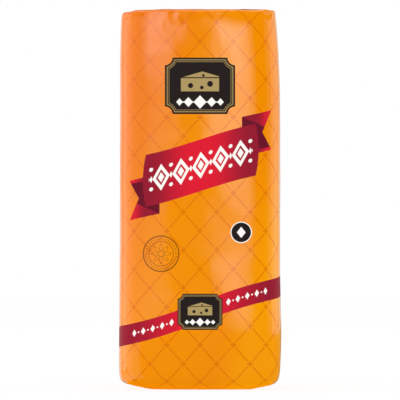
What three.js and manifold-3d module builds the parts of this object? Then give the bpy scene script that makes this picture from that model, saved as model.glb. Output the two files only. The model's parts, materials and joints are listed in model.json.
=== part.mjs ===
// A deli loaf of smoked gouda in tight printed film, standing on one folded end.
// Sizes are in millimetres and +Z is up. The printed front looks along -Y, and the origin is the
// middle of the base. The film clings to the cheese, so loaf and film are one solid: a block with
// crowned faces and rounded edges, an envelope fold on each end and a lapped seam down the back.
import * as THREE from "three";
import { mergeVertices } from "three/addons/utils/BufferGeometryUtils.js";
import Module from "manifold-3d";

const wasm = await Module();
wasm.setup();

// Overall size of the wrapped loaf.
const HEIGHT = 252;
const WIDTH = 108;
const DEPTH = 96;

// Film: how far one folded layer stands out of the block, and the lapped seam on the back.
const FOLD_RISE = 0.45;
const BASE_FOLD_RISE = 0.6;
const SEAM_RISE = 0.7;
const SEAM_WIDTH = 14;
const SEAM_OFFSET = 4;

// How far each flap of the envelope folds reaches in from its edge of the end face.
const BACK_FLAP_REACH = 50;
const FRONT_FLAP_REACH = 46;

// Plan section: a superellipse, so that the corners round off softly, with crowned faces.
const HALF_WIDTH = WIDTH / 2;
const HALF_DEPTH = (DEPTH - SEAM_RISE) / 2;
const MIDDLE_Y = -SEAM_RISE / 2;
const CORNER_POWER = 9;
const FRONT_CROWN = 2.2;
const SIDE_CROWN = 1.2;

// Rounding of the end faces' edges: run is measured inwards and rise along the height.
const BASE_RUN = 9;
const BASE_RISE = 10;
const TOP_RUN_LEFT = 5.5;
const TOP_RUN_RIGHT = 2.6;
const TOP_RUN_DEPTH = 3.5;
const TOP_RISE = 3.2;

// Crown of the end faces, and the half size of the flat spot in the middle of each.
const BASE_CROWN = 1.8;
const TOP_CROWN = 0.5;
const SPOT_HALF_WIDTH = 29;
const SPOT_HALF_DEPTH = 24;

// The base bows down in its middle: how far its left and right ends are raised above the flat
// spot, and the height where the bow has faded out.
const BASE_BOW = 2.7;
const BASE_BOW_HEIGHT = 9;

// The block narrows towards its top and has slumped a little wider near its base.
const TAPER_HEIGHT = 62;
const TAPER_LEFT = 1;
const TAPER_RIGHT = 3.4;
const TAPER_DEPTH = 1.6;
const SLUMP = 0.7;
const SLUMP_HEIGHT = 30;
const SLUMP_SPREAD = 34;

// Soft dents and swellings of the block, as a wave's height and its lengths.
const UNEVEN = 0.2;
const UNEVEN_LENGTH = 83;
const UNEVEN_TURNS = 5;

// Facets.
const OUTLINE_POINTS = 72;
const CORNER_PULL = 0.19;
const ROUND_STEPS = 6;
const CROWN_STEPS = 3;
const SIDE_STEPS = 18;

// How far a cutter reaches past the block.
const CUTTER_OVERHANG = 20;

// Half width of the plan section in a direction, measured from its middle.
function reachOf(angle) {
  const across = Math.abs(Math.cos(angle) / HALF_WIDTH) ** CORNER_POWER;
  const along = Math.abs(Math.sin(angle) / HALF_DEPTH) ** CORNER_POWER;
  return (across + along) ** (-1 / CORNER_POWER);
}

// The plan section at its fullest, anticlockwise, with its points drawn towards the corners.
function planOutline() {
  const points = [];
  for (let i = 0; i < OUTLINE_POINTS; i++) {
    const turn = (2 * Math.PI * i) / OUTLINE_POINTS;
    const angle = turn + CORNER_PULL * Math.sin(4 * turn);
    const reach = reachOf(angle);
    const x = reach * Math.cos(angle);
    const y = reach * Math.sin(angle);
    const sideFall = SIDE_CROWN * (y / HALF_DEPTH) ** 2;
    const frontFall = FRONT_CROWN * (x / HALF_WIDTH) ** 2;
    points.push(new THREE.Vector2(x * (1 - sideFall / HALF_WIDTH), y * (1 - frontFall / HALF_DEPTH)));
  }
  return points;
}

// One row of the loft: its height, how far round the edge it has gone (0 on the side faces,
// 1 where the end face starts) and how far it has gone from there to the flat spot.
function row(z, rounding, inwards, atTop) {
  return { z, rounding, inwards, atTop };
}

// The rows from the resting spot up to the middle of the top. topLift and baseDrop move the end
// faces out by the thickness of the film that is folded over them.
function rowsOf(topLift, baseDrop) {
  const bottom = BASE_FOLD_RISE - baseDrop;
  const top = HEIGHT - 2 * FOLD_RISE + topLift;
  const sideStart = bottom + BASE_CROWN + BASE_RISE;
  const sideEnd = top - TOP_CROWN - TOP_RISE;
  const rows = [];
  for (let i = 0; i < CROWN_STEPS; i++) {
    const out = i / CROWN_STEPS;
    rows.push(row(bottom + BASE_CROWN * out ** 2, 1, 1 - out, false));
  }
  for (let i = 0; i <= ROUND_STEPS; i++) {
    const turn = ((i / ROUND_STEPS) * Math.PI) / 2;
    const z = bottom + BASE_CROWN + BASE_RISE * (1 - Math.cos(turn));
    rows.push(row(z, 1 - Math.sin(turn), 0, false));
  }
  for (let i = 1; i < SIDE_STEPS; i++) {
    rows.push(row(THREE.MathUtils.lerp(sideStart, sideEnd, i / SIDE_STEPS), 0, 0, i > SIDE_STEPS / 2));
  }
  for (let i = 0; i <= ROUND_STEPS; i++) {
    const turn = ((i / ROUND_STEPS) * Math.PI) / 2;
    rows.push(row(sideEnd + TOP_RISE * Math.sin(turn), 1 - Math.cos(turn), 0, true));
  }
  for (let i = 1; i <= CROWN_STEPS; i++) {
    const left = 1 - i / CROWN_STEPS;
    rows.push(row(top - TOP_CROWN * left ** 2, 1, i / CROWN_STEPS, true));
  }
  return rows;
}

// How much narrower the block is at a height, as the distance a face has moved in.
function narrowing(z, taper) {
  const up = Math.max(0, z - (HEIGHT - TAPER_HEIGHT)) / TAPER_HEIGHT;
  const bulge = Math.exp(-(((z - SLUMP_HEIGHT) / SLUMP_SPREAD) ** 2));
  return taper * up ** 2 + SLUMP * (1 - bulge);
}

// Where a half width ends up in a row: full size less the narrowing, the rounding and the way in.
function halfSize(full, spot, run, taper, at) {
  const face = full - narrowing(at.z, taper);
  return face - run * at.rounding - (face - run - spot) * at.inwards;
}

// How far the bow of the base raises a point.
function bowLift(x, z) {
  const out = Math.max(0, Math.abs(x) - SPOT_HALF_WIDTH) / (HALF_WIDTH - SPOT_HALF_WIDTH);
  return BASE_BOW * out ** 2 * Math.max(0, 1 - z / BASE_BOW_HEIGHT);
}

// The block's surface point for one outline point in one row.
function blockPoint(outline, at) {
  const right = outline.x > 0;
  const run = at.atTop ? (right ? TOP_RUN_RIGHT : TOP_RUN_LEFT) : BASE_RUN;
  const depthRun = at.atTop ? TOP_RUN_DEPTH : BASE_RUN;
  const halfX = halfSize(HALF_WIDTH, SPOT_HALF_WIDTH, run, right ? TAPER_RIGHT : TAPER_LEFT, at);
  const halfY = halfSize(HALF_DEPTH, SPOT_HALF_DEPTH, depthRun, TAPER_DEPTH, at);
  const turn = Math.atan2(outline.y, outline.x);
  const wave = Math.sin(UNEVEN_TURNS * turn + (2 * Math.PI * at.z) / UNEVEN_LENGTH);
  const swell = 1 - (UNEVEN * (1 + wave) * (1 - at.rounding)) / (2 * HALF_DEPTH);
  const x = (outline.x / HALF_WIDTH) * halfX * swell;
  const y = (outline.y / HALF_DEPTH) * halfY * swell + MIDDLE_Y;
  return new THREE.Vector3(x, y, at.z + bowLift(x, at.z));
}

// A closed mesh through rows of points, with a flat fan at each end.
function loft(rings) {
  const count = rings[0].length;
  const points = rings.flat();
  const faces = [];
  for (let r = 0; r + 1 < rings.length; r++) {
    for (let i = 0; i < count; i++) {
      const next = (i + 1) % count;
      const [a, b] = [r * count + i, r * count + next];
      faces.push(a, b, b + count, a, b + count, a + count);
    }
  }
  const last = points.length;
  const lastRing = (rings.length - 1) * count;
  points.push(middleOf(rings[0]), middleOf(rings[rings.length - 1]));
  for (let i = 0; i < count; i++) {
    const next = (i + 1) % count;
    faces.push(last, next, i, last + 1, lastRing + i, lastRing + next);
  }
  return new THREE.BufferGeometry().setFromPoints(points).setIndex(faces);
}

function middleOf(ring) {
  const middle = ring.reduce((sum, point) => sum.add(point), new THREE.Vector3());
  return middle.divideScalar(ring.length);
}

// The wrapped block with its end faces or its back moved out by a layer of film.
function block({ topLift = 0, baseDrop = 0, backLift = 0 } = {}) {
  const outline = planOutline();
  const rings = rowsOf(topLift, baseDrop).map((at) =>
    outline.map((corner) => {
      const point = blockPoint(corner, at);
      if (point.y > 0) point.y += backLift;
      return point;
    }),
  );
  return solidOf(loft(rings));
}

// A geometry as a solid that can be joined and cut.
function solidOf(geometry) {
  const bare = geometry.clone();
  bare.deleteAttribute("normal");
  bare.deleteAttribute("uv");
  const merged = mergeVertices(bare);
  return new wasm.Manifold(
    new wasm.Mesh({
      numProp: 3,
      vertProperties: new Float32Array(merged.attributes.position.array),
      triVerts: new Uint32Array(merged.index.array),
    }),
  );
}

// A solid as a geometry that a mesh can show.
function geometryOf(solid) {
  const made = solid.getMesh();
  const geometry = new THREE.BufferGeometry();
  geometry.setAttribute("position", new THREE.BufferAttribute(new Float32Array(made.vertProperties), 3));
  geometry.setIndex(new THREE.BufferAttribute(new Uint32Array(made.triVerts), 1));
  geometry.computeVertexNormals();
  return geometry;
}

// A prism over a plan polygon, between two heights.
function prism(corners, low, high) {
  const shape = new THREE.Shape(corners.map(([x, y]) => new THREE.Vector2(x, y)));
  const geometry = new THREE.ExtrudeGeometry(shape, { depth: high - low, bevelEnabled: false });
  geometry.translate(0, 0, low);
  return solidOf(geometry);
}

// Plan of a flap that is folded in from the front (side -1) or the back (side 1). Its edges run
// in at 45 degrees from the corners of the end face, as the tucks under it make them.
function flapPlan(side, reach) {
  const far = CUTTER_OVERHANG;
  const tip = HALF_WIDTH - reach;
  const corners = [
    [-HALF_WIDTH - far, side * (HALF_DEPTH + far) + MIDDLE_Y],
    [-tip, side * (HALF_DEPTH - reach) + MIDDLE_Y],
    [tip, side * (HALF_DEPTH - reach) + MIDDLE_Y],
    [HALF_WIDTH + far, side * (HALF_DEPTH + far) + MIDDLE_Y],
  ];
  return side < 0 ? corners.reverse() : corners;
}

// A flap of the top fold. The back flap lies over the front one, so it has two layers under it.
function topFlap(side, reach, layers) {
  const cutter = prism(flapPlan(side, reach), HEIGHT - CUTTER_OVERHANG, HEIGHT + CUTTER_OVERHANG);
  return block({ topLift: layers * FOLD_RISE }).intersect(cutter);
}

// A flap of the base fold, which the loaf's weight has pressed flat.
function baseFlap(side, reach) {
  const cutter = prism(flapPlan(side, reach), -CUTTER_OVERHANG, CUTTER_OVERHANG);
  return block({ baseDrop: BASE_FOLD_RISE }).intersect(cutter);
}

// The lapped seam, a flat band down the back from end to end.
function backSeam() {
  const [left, right] = [SEAM_OFFSET - SEAM_WIDTH / 2, SEAM_OFFSET + SEAM_WIDTH / 2];
  const [near, far] = [MIDDLE_Y, DEPTH / 2 + CUTTER_OVERHANG];
  const band = prism([[left, near], [right, near], [right, far], [left, far]], 0, HEIGHT);
  return block({ backLift: SEAM_RISE }).intersect(band);
}

function wrappedLoaf() {
  return [
    topFlap(-1, FRONT_FLAP_REACH, 1),
    topFlap(1, BACK_FLAP_REACH, 2),
    baseFlap(-1, FRONT_FLAP_REACH),
    baseFlap(1, BACK_FLAP_REACH),
    backSeam(),
  ].reduce((whole, layer) => whole.add(layer), block());
}

const film = new THREE.MeshStandardMaterial({ color: 0xf39200, roughness: 0.35, metalness: 0 });

const loaf = new THREE.Mesh(geometryOf(wrappedLoaf()), film);
loaf.name = "wrapped_loaf";

const smokedGouda = new THREE.Group();
smokedGouda.add(loaf);

export default smokedGouda;
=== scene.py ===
# %% [markdown]
# This lesson dresses a deli loaf of smoked gouda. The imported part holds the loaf's true size and
# its main form. Here the loaf gets what a maker sees up close: a tight printed film with soft
# dents and pleats, the flaps of an envelope fold on each end and a lapped seam down the back.
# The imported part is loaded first, because every piece goes where that part says. Loading leaves
# it selected, so everything is deselected before the first new object.

import json
import math

import bmesh
import bpy
import numpy as np
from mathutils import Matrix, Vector, noise

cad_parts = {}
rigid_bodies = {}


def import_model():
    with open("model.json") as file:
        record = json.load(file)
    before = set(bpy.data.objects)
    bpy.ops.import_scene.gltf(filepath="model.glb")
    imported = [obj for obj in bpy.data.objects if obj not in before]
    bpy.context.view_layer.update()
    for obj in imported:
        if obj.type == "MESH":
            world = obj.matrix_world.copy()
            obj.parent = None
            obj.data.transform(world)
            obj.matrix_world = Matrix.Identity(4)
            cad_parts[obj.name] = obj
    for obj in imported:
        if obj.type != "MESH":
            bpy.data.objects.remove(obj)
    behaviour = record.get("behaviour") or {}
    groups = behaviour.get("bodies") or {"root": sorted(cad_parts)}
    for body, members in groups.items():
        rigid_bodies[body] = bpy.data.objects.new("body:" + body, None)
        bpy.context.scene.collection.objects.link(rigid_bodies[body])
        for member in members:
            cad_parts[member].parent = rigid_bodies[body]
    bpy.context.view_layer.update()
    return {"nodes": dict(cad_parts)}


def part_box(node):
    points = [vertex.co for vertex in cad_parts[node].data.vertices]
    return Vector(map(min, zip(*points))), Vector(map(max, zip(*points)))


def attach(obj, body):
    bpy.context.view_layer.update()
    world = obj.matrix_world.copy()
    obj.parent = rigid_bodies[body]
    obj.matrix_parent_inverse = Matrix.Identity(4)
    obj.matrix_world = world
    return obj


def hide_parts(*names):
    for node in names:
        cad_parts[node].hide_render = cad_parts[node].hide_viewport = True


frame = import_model()
packed_loaf = frame["nodes"]["wrapped_loaf"]
low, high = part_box("wrapped_loaf")
bpy.ops.object.select_all(action="DESELECT")

MM = 0.001
HEIGHT = high.z
HALF_LOAF = high.x
HALF_DEPTH = -low.y


def in_mm(lengths, places=1):
    """Lengths as they are printed, in millimetres."""
    return [round(float(length) / MM, places) for length in lengths]


print("packed loaf, mm:", in_mm(high - low))

# %% [markdown]
# The camera comes first, so that each step can be looked at from where the photograph was taken.
# The loaf was shot straight on from far away with a long lens, level with its middle: its sides
# run parallel, and neither its top nor its base shows. A camera three metres away does the same.
# The lens follows from how much height the picture takes in at the loaf.

# %% Camera
CAMERA_DISTANCE = 3.0
PICTURE_HEIGHT = 266.2 * MM
PICTURE_MIDDLE = Vector((0.0, 0.0, 125.2 * MM))

bpy.ops.object.camera_add(
    location=PICTURE_MIDDLE + Vector((0.0, -CAMERA_DISTANCE, 0.0)),
    rotation=(math.pi / 2, 0.0, 0.0),
)
camera = bpy.context.object
camera.name = "straight_on_camera"
camera.data.lens = camera.data.sensor_width * CAMERA_DISTANCE / PICTURE_HEIGHT
bpy.context.scene.camera = camera
print("lens, mm:", round(camera.data.lens))

# %% [markdown]
# Printed film is glossy, so it mirrors the lights. Each light here is a soft box that fills a
# window of the sky round the loaf, between two bearings and between two rises, all in degrees.
# Bearing 0 is where the camera stands and bearing 90 is on the loaf's right. A brightness is that
# of the box's face, where 1 is paper white, so a box's power follows from its size. Boxes high up
# give the even light, because an upright face doesn't mirror them. Warm boxes behind, with an
# amber one low on the right, show only as the thin rim of the outline.

# %% Soft boxes all round
LOAF_MIDDLE = Vector((0.0, 0.0, 126.0 * MM))
BOX_DISTANCE = 3.0
WHITE_LIGHT = (1.0, 1.0, 1.0)
WARM_WHITE = (1.0, 0.86, 0.72)
AMBER = (1.0, 0.6, 0.2)


def soft_box(name, bearings, rises, brightness, colour=WHITE_LIGHT):
    """A rectangular light that faces the loaf, fills a window of its sky and isn't seen itself."""
    bearing = math.radians(sum(bearings) / 2)
    rise = math.radians(sum(rises) / 2)
    level = math.cos(rise)
    way = Vector((math.sin(bearing) * level, -math.cos(bearing) * level, math.sin(rise)))
    bpy.ops.object.light_add(type="AREA", location=LOAF_MIDDLE + way * BOX_DISTANCE)
    box = bpy.context.object
    box.name = name
    box.rotation_euler = way.to_track_quat("Z", "Y").to_euler()
    box.data.shape = "RECTANGLE"
    box.data.size = 2 * BOX_DISTANCE * level * math.tan(math.radians(bearings[1] - bearings[0]) / 2)
    box.data.size_y = 2 * BOX_DISTANCE * math.tan(math.radians(rises[1] - rises[0]) / 2)
    box.data.energy = brightness * math.pi * box.data.size * box.data.size_y
    box.data.color = colour
    box.visible_camera = False


def lights_so_far():
    return sum(thing.type == "LIGHT" for thing in bpy.context.scene.objects)


# Even light from high up
soft_box("high_front_box", (-40, 40), (30, 68), 2.1)
soft_box("high_rear_box", (146, 214), (28, 62), 1.8)
for bearing, side in ((-90, "left"), (90, "right")):
    soft_box(f"high_{side}_box", (bearing - 34, bearing + 34), (28, 62), 2.1)

# The rim of the outline
soft_box("left_rim_box", (-176, -122), (-9, 17), 0.9, WARM_WHITE)
soft_box("right_rim_box", (130, 176), (-3, 17), 0.8, WARM_WHITE)
soft_box("left_rim_foot_box", (-176, -122), (-50, -9), 0.7, WARM_WHITE)
soft_box("right_rim_foot_box", (130, 176), (-40, -3), 0.5, AMBER)
print("soft boxes all round:", lights_so_far())

# %% [markdown]
# The film shows its gloss as a few pale strips. Low walls of light on both sides give each rounded
# edge its own. The bulging front mirrors small windows beside the camera as two broad bands,
# brighter towards the top. Between those windows the room is dark, so that the middle of the front
# stays deep. Each strip is a row of boxes, so that it can fade out step by step.

# %% Strips of light on the film
def soft_row(name, rises, bearings, brightnesses):
    """Soft boxes side by side from bearing to bearing, so that a strip fades out step by step."""
    for k, brightness in enumerate(brightnesses):
        soft_box(f"{name}_{k + 1}", (bearings[k], bearings[k + 1]), rises, brightness)


# The pale strips along the rounded edges
soft_row("left_wall", (-9, 20), (-122, -76, -50, -34, -20), (2.0, 1.5, 1.0, 0.65))
soft_row("left_wall_foot", (-50, -9), (-122, -76, -50, -34, -20), (1.0, 1.2, 1.0, 0.6))
soft_row("right_wall", (-3, 17), (38, 62, 90, 130), (0.4, 1.4, 1.35))
soft_row("right_wall_foot", (-40, -3), (62, 90, 130), (0.03, 0.05))

# The band on the left half of the front, from the top down
soft_row("left_band_crown", (9.5, 19), (-20, -15, -11, -5), (1.2, 2.0, 3.6))
soft_row("left_band_top", (7.5, 9.5), (-20, -15, -11, -3.4), (0.8, 1.7, 3.6))
soft_row("left_band_shoulder", (4, 7.5), (-20, -13, -3.4), (0.7, 1.6))
soft_row("left_band_waist", (1.5, 4), (-20, -12, -3.4), (0.5, 1.1))
soft_row("left_band_middle", (-1, 1.5), (-20, -3.8), (0.65,))
soft_row("left_band_foot", (-3.5, -1), (-20, -5.5), (0.65,))

# The band on the right half of the front, from the top down
soft_row("right_band_top", (4.5, 12.2), (2.2, 3.2, 7, 9, 11, 13.5), (1.8, 4.0, 2.6, 1.4, 0.6))
soft_row("right_band_shoulder", (1, 4.5), (2.8, 7, 9, 11, 13.5), (2.8, 2.0, 1.2, 0.5))
soft_row("right_band_waist", (-0.4, 1), (3.3, 7, 9.5, 12.5), (1.9, 1.5, 0.7))
soft_row("right_band_knee", (-1.9, -0.4), (5.0, 8, 10, 12), (1.8, 1.2, 0.45))
soft_row("right_band_foot", (-3.6, -1.9), (2.2, 7, 9), (0.9, 0.4))
print("lights in all:", lights_so_far())

# %% [markdown]
# The loaf stands on a light table, a white sheet that also glows from below, so it throws hardly
# any shadow. The table lights the film but isn't mirrored in it, because its white image would
# wash out the orange.

# %% Light table
FLOOR_RADIUS = 2.5
FLOOR_DROP = 0.1 * MM
SHEET_GREY = 0.1
SHEET_ROUGHNESS = 0.9
SHEET_GLOW = 0.9
PLAIN_WHITE = (*WHITE_LIGHT, 1.0)


def set_inputs(node, values):
    """Sets some of a node's inputs by their names."""
    for name, value in values.items():
        node.inputs[name].default_value = value


bpy.ops.mesh.primitive_circle_add(
    vertices=96, radius=FLOOR_RADIUS, fill_type="NGON", location=(0.0, 0.0, -FLOOR_DROP)
)
floor = bpy.context.object
floor.name = "light_table"
sheet = bpy.data.materials.new("light_table")
sheet.use_nodes = True
set_inputs(
    sheet.node_tree.nodes["Principled BSDF"],
    {
        "Base Color": (SHEET_GREY, SHEET_GREY, SHEET_GREY, 1.0),
        "Roughness": SHEET_ROUGHNESS,
        "Specular IOR Level": 0.0,
        "Emission Color": PLAIN_WHITE,
        "Emission Strength": SHEET_GLOW,
    },
)
floor.data.materials.append(sheet)
floor.visible_glossy = False
print("stage:", floor.name)

# %% [markdown]
# The room behind is white to the camera but almost dark to the film, for the same reason: a white
# room would be mirrored all over the loaf. The world's shader asks where a ray of light was sent
# from. A ray that comes straight from the camera meets white, and any other meets a faint glow.

# %% White room
ROOM_ON_FILM = 0.015

room = bpy.data.worlds.new("white_room")
room.use_nodes = True
bpy.context.scene.world = room
room_nodes = room.node_tree.nodes
room_links = room.node_tree.links
seen = room_nodes["Background"]
set_inputs(seen, {"Color": PLAIN_WHITE})
felt = room_nodes.new("ShaderNodeBackground")
set_inputs(felt, {"Color": PLAIN_WHITE, "Strength": ROOM_ON_FILM})
light_path = room_nodes.new("ShaderNodeLightPath")
either = room_nodes.new("ShaderNodeMixShader")
room_links.new(light_path.outputs["Is Camera Ray"], either.inputs["Fac"])
room_links.new(felt.outputs[0], either.inputs[1])
room_links.new(seen.outputs[0], either.inputs[2])
room_links.new(either.outputs[0], room_nodes["World Output"].inputs["Surface"])
bpy.context.scene.view_settings.view_transform = "Standard"
print("room:", room.name)

# %% [markdown]
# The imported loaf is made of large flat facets, and its folds are small sharp steps. The film needs
# a smooth form to cling to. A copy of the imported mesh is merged, because it comes as loose
# triangles, and is then remeshed in even cells and smoothed. This guide is only a tool, as a
# shoemaker's last is, and it is thrown away when the film is on. Operators act on whatever is
# selected, so a small function first selects the one piece that is worked on.

# %% Smooth guide
MERGE_REACH = 0.001 * MM
GUIDE_CELL = 1.2 * MM
GUIDE_ROUNDS = 4


def work_on(piece):
    """Selects one piece and nothing else."""
    bpy.ops.object.select_all(action="DESELECT")
    piece.select_set(True)
    bpy.context.view_layer.objects.active = piece


def apply_modifiers(piece):
    """Applies all the modifiers of a piece, in their order."""
    work_on(piece)
    for modifier in list(piece.modifiers):
        bpy.ops.object.modifier_apply(modifier=modifier.name)


def copy_piece(source, name):
    """A new piece with its own copy of another piece's mesh."""
    piece = bpy.data.objects.new(name, source.data.copy())
    piece.data.name = name
    bpy.context.collection.objects.link(piece)
    return piece


guide = copy_piece(packed_loaf, "guide")
work_on(guide)
bpy.ops.object.mode_set(mode="EDIT")
bpy.ops.mesh.select_all(action="SELECT")
bpy.ops.mesh.remove_doubles(threshold=MERGE_REACH)
bpy.ops.object.mode_set(mode="OBJECT")
cells = guide.modifiers.new("cells", "REMESH")
cells.mode = "VOXEL"
cells.voxel_size = GUIDE_CELL
melt = guide.modifiers.new("melt", "SMOOTH")
melt.iterations = GUIDE_ROUNDS
apply_modifiers(guide)
print("guide points:", len(guide.data.vertices))

# %% [markdown]
# The film itself starts as a box of the loaf's size. Its edges are subdivided until each square is
# a little over a millimetre wide, which is fine enough for soft dents and short pleats. A
# shrinkwrap pulls the box onto the guide. Smoothing then spreads the squares evenly round the
# edges, and a second shrinkwrap brings them back onto the form. Wrapping a box keeps tidy rows of
# squares, which a remesh would not, and tidy rows catch the light more evenly.

# %% Film wrapped round the guide
CUTS_ALONG_AXES = (1, 1, 4)
SQUARES_PER_STEP = 40
RELAX_ROUNDS = (8, 3)
ALONG_ENOUGH = 0.9


def select_edges_along(piece, axis):
    """Selects, in edit mode, the edges that run along an axis."""
    mesh = bmesh.from_edit_mesh(piece.data)
    for edge in mesh.edges:
        run = (edge.verts[1].co - edge.verts[0].co).normalized()
        edge.select_set(abs(run[axis]) > ALONG_ENOUGH)
    bmesh.update_edit_mesh(piece.data)


bpy.ops.object.select_all(action="DESELECT")
bpy.ops.mesh.primitive_cube_add(size=1.0, location=(low + high) / 2, scale=high - low)
film_skin = bpy.context.object
film_skin.name = "film_skin"
bpy.ops.object.transform_apply(location=True, rotation=True, scale=True)
bpy.ops.object.mode_set(mode="EDIT")
bpy.ops.mesh.select_mode(type="EDGE")
for axis, cuts in enumerate(CUTS_ALONG_AXES):
    select_edges_along(film_skin, axis)
    bpy.ops.mesh.subdivide(number_cuts=cuts)
bpy.ops.mesh.select_all(action="SELECT")
bpy.ops.mesh.subdivide(number_cuts=SQUARES_PER_STEP - 1)
bpy.ops.object.mode_set(mode="OBJECT")

for rounds in RELAX_ROUNDS:
    cling = film_skin.modifiers.new("cling", "SHRINKWRAP")
    cling.target = guide
    spread = film_skin.modifiers.new("spread", "SMOOTH")
    spread.iterations = rounds
    apply_modifiers(film_skin)
work_on(film_skin)
bpy.ops.object.shade_smooth()
print("film squares:", len(film_skin.data.polygons))

# %% [markdown]
# From here on the film is shaped by moving its points, as a sculpting brush does. A formula holds
# the brush, so that each run gives the same film. The points are read into an array and put back
# all at once, which is much faster than one by one. Two curves say how hard the brush presses: one
# fades with a distance, and one rises smoothly between two values.

# %% Tools for moving points
def read_all(items, field, width, kind=np.float32):
    """One field of all the points, corners or faces of a mesh, as an array with a row for each."""
    values = np.empty(len(items) * width, kind)
    items.foreach_get(field, values)
    return values.reshape(-1, width)


def points_of(piece):
    return read_all(piece.data.vertices, "co", 3).astype(float)


def put_points(piece, points):
    piece.data.vertices.foreach_set("co", points.astype(np.float32).ravel())
    piece.data.update()


def near(distance, reach):
    """1 at no distance, fading to 0 over about a reach."""
    return np.exp(-((distance / reach) ** 2))


def smooth_step(value, start, end):
    """0 up to the start, rising smoothly to 1 at the end."""
    share = np.clip((value - start) / (end - start), 0.0, 1.0)
    return share * share * (3 - 2 * share)


print("wrapped film, mm:", in_mm(np.ptp(points_of(film_skin), axis=0)))

# %% [markdown]
# The loaf has stood on its base, so the film under it is pressed flat, and the front and the right
# side draw in a little towards their foot. The front also leans back just under its top edge. The
# edge of the base bows up a hair on the left, and comes down close to both sides, where smoothing
# left it too round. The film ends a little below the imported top, to leave room for folded layers.
# A soft brush could do all this, but formulas do it evenly. A tuck or a lean is given by how far it
# reaches and how deep it is. A span says where a change begins and where it is full, as a share of
# the way from the loaf's middle to its side.

# %% Press the base flat and draw in the foot
TOP_LAYERS = 0.8 * MM
BASE_LAYERS = 0.55 * MM
FRONT_TUCK = (56.0 * MM, 1.3 * MM)
FRONT_LEAN = (14.0 * MM, 0.5 * MM)
RIGHT_TUCK = (38.0 * MM, 1.2 * MM)
BOW_REACH = 9.0 * MM
LEFT_BOW = 0.7 * MM
LEFT_BOW_SPAN = (0.3, 0.75)
SIDE_DROP = 0.9 * MM
SIDE_DROP_SPAN = (0.68, 0.87)


def sideways(places):
    """-1 at the loaf's left side, 0 in its middle and 1 at its right side."""
    return places[:, 0] / HALF_LOAF


def draw_in(distance, reach, depth, power=2):
    """How far a face draws in: by its full depth at no distance, and by nothing past the reach."""
    return depth * np.clip(1 - distance / reach, 0, 1) ** power


points = points_of(film_skin)
front_tuck = draw_in(points[:, 2], *FRONT_TUCK) + draw_in(HEIGHT - points[:, 2], *FRONT_LEAN)
points[:, 1] += front_tuck * np.clip(-points[:, 1] / HALF_DEPTH, 0, 1)
right_tuck = draw_in(points[:, 2], *RIGHT_TUCK, power=1.5)
points[:, 0] -= right_tuck * np.clip(sideways(points), 0, 1)
points[:, 2] *= (HEIGHT - TOP_LAYERS) / HEIGHT
bow = LEFT_BOW * smooth_step(-sideways(points), *LEFT_BOW_SPAN)
bow -= SIDE_DROP * smooth_step(np.abs(sideways(points)), *SIDE_DROP_SPAN)
points[:, 2] += bow * near(points[:, 2], BOW_REACH)
points[:, 2] = np.maximum(points[:, 2], BASE_LAYERS)
put_points(film_skin, points)
print("pressed film, mm:", in_mm(np.ptp(points, axis=0)))

# %% [markdown]
# The folds and the print need to know how far a point lies in from each face. So the left, right,
# front and back faces are measured near both ends and in the middle, now that the form is settled
# and while the film is still smooth.

# %% Measure the faces
MEASURE_REACH = 2.0 * MM
TOP_EDGE_HEIGHT = 5.0 * MM
BASE_EDGE_HEIGHT = 11.0 * MM


def faces_at(height):
    """Where the left, right, front and back faces are at a height."""
    ring = points[np.abs(points[:, 2] - height) < MEASURE_REACH]
    return ring[:, 0].min(), ring[:, 0].max(), ring[:, 1].min(), ring[:, 1].max()


top_faces = faces_at(HEIGHT - TOP_EDGE_HEIGHT)
base_faces = faces_at(BASE_EDGE_HEIGHT)
wide_faces = faces_at(HEIGHT / 2)
print("faces in the middle, mm:", in_mm(wide_faces))

# %% [markdown]
# Smoothing has left the edges round the ends too soft: there the film is drawn over the cheese in
# a tight fold. Points on a rounded edge are pushed out along their normals, by nothing where they
# face straight up, down or outwards and by most halfway between, which turns a round profile into
# a tighter one. At the base only the middles of the left and the right side are that tight. The
# top's left end keeps some of its roundness, as the cheese is rounder there.

# %% Tight folds round the ends
FOLD_TIGHTNESS = 5.0
TOP_FOLD_RADIUS = 4.0 * MM
TOP_FOLD_REACH = 9.0 * MM
ROUND_LEFT_FROM = 0.7
ROUND_LEFT_RUN = 0.3
ROUND_LEFT_SHARE = 0.5
BASE_FOLD_RADIUS = 7.0 * MM
BASE_FOLD_REACH = 16.0 * MM
BASE_FOLD_HALF_LENGTH = 34.0 * MM
BASE_FOLD_SPAN = (0.55, 0.85)


def normals_of(piece):
    return read_all(piece.data.vertex_normals, "vector", 3).astype(float)


def swell(piece, amounts):
    """Moves each point out along its normal."""
    put_points(piece, points_of(piece) + normals_of(piece) * np.asarray(amounts)[:, None])


points = points_of(film_skin)
facing_up = np.abs(normals_of(film_skin)[:, 2])
facing_out = np.sqrt(np.maximum(1 - facing_up**2, 0))
tight = (facing_up**FOLD_TIGHTNESS + facing_out**FOLD_TIGHTNESS) ** (-1 / FOLD_TIGHTNESS) - 1
rounder = np.clip(-sideways(points) - ROUND_LEFT_FROM, 0, ROUND_LEFT_RUN) / ROUND_LEFT_RUN
at_top = near(HEIGHT - points[:, 2], TOP_FOLD_REACH) * (1 - (1 - ROUND_LEFT_SHARE) * rounder)
at_base = near(points[:, 2], BASE_FOLD_REACH) * near(points[:, 1], BASE_FOLD_HALF_LENGTH)
at_base *= smooth_step(np.abs(sideways(points)), *BASE_FOLD_SPAN)
tightening = tight * (TOP_FOLD_RADIUS * at_top + BASE_FOLD_RADIUS * at_base)
swell(film_skin, tightening)
print("most that a fold is pushed out, mm:", in_mm([tightening.max()], 2))

# %% [markdown]
# The top edge isn't quite level. Its left end drops a little, and its right end is lifted by
# almost a millimetre, so that the top runs square into its corner.

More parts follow.
